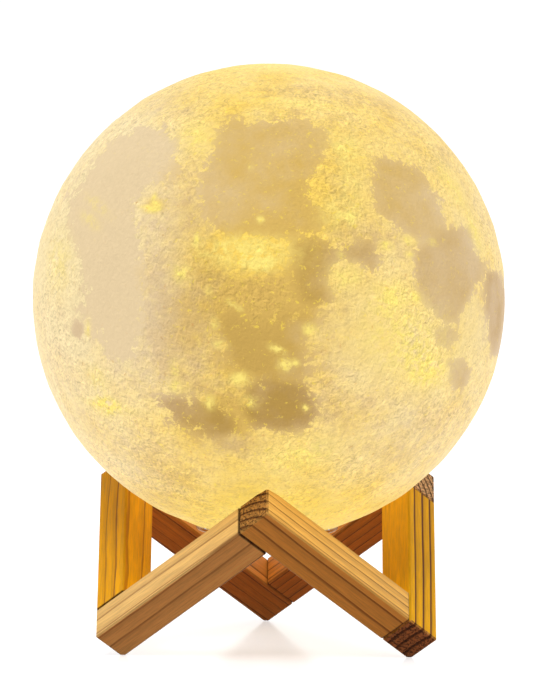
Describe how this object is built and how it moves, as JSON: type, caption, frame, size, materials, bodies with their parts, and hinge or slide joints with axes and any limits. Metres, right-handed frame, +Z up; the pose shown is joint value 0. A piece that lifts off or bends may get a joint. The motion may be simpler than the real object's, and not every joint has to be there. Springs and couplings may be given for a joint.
{
  "type": "moon globe lamp on a rail stand",
  "caption": "Hollow printed globe lamp with a light module in its base, resting on a stand of square wooden rails joined in a zigzag ring.",
  "frame": {"origin": "on the table, under the middle of the stand and the globe", "axes": "+Z up; the joint between the two front rails points to -Y; +X to the right"},
  "size_m": [0.15, 0.15, 0.1849],
  "materials": {
    "printed_globe": "fine printed layers, lit from inside",
    "rail_wood": "sanded softwood, eased edges",
    "dowel_wood": "plain hardwood dowel",
    "base_plastic": "moulded white",
    "screw_steel": "bright zinc",
    "ring_chrome": "polished",
    "cover_plastic": "moulded white, fine satin",
    "button_plastic": "moulded, satin",
    "switch_plastic": "moulded black",
    "switch_steel": "stamped case",
    "port_steel": "drawn shell",
    "light_pipe": "clear",
    "contact_brass": "spring leaf",
    "board_laminate": "solder mask",
    "board_white": "white solder mask",
    "chip_black": "moulded package",
    "battery_foil": "pouch foil",
    "pad_foam": "closed foam",
    "chip_light": "phosphor face",
    "opal_plastic": "opal",
    "wire_red": "insulation",
    "wire_black": "insulation"
  },
  "bodies": {
    "stand": {"rail_front_right": "rail_wood", "rail_rear_right": "rail_wood", "rail_left": "rail_wood", "rail_right": "rail_wood", "rail_rear_left": "rail_wood", "rail_front_left": "rail_wood", "joint_dowels": "dowel_wood"},
    "globe": {"moon_shell": "printed_globe", "shell_collar": "base_plastic", "light_base": "base_plastic", "base_screws": "screw_steel", "touch_ring": "ring_chrome", "bottom_cover": "cover_plastic", "control_board": "board_laminate", "charging_port": "port_steel", "charge_light": "light_pipe", "touch_contact": "contact_brass", "board_chips": "chip_black", "tact_switch": "switch_steel", "battery": "battery_foil", "battery_pad": "pad_foam", "light_board": "board_white", "light_board_screws": "screw_steel", "light_chips": "chip_light", "light_diffuser": "opal_plastic", "light_lead": "wire_red", "battery_lead": "wire_black"},
    "button": {"power_button": "button_plastic", "switch_plunger": "switch_plastic"}
  },
  "joints": [
    {"name": "globe_lift", "type": "slide", "parent": "stand", "child": "globe", "axis": [0, 0, 1], "range_m": [0, 0.06]},
    {"name": "button_press", "type": "slide", "parent": "globe", "child": "button", "axis": [0, 0, 1], "range_m": [0, 0.0005], "stiffness_N_per_m": 1500, "springref_m": -0.0003}
  ]
}
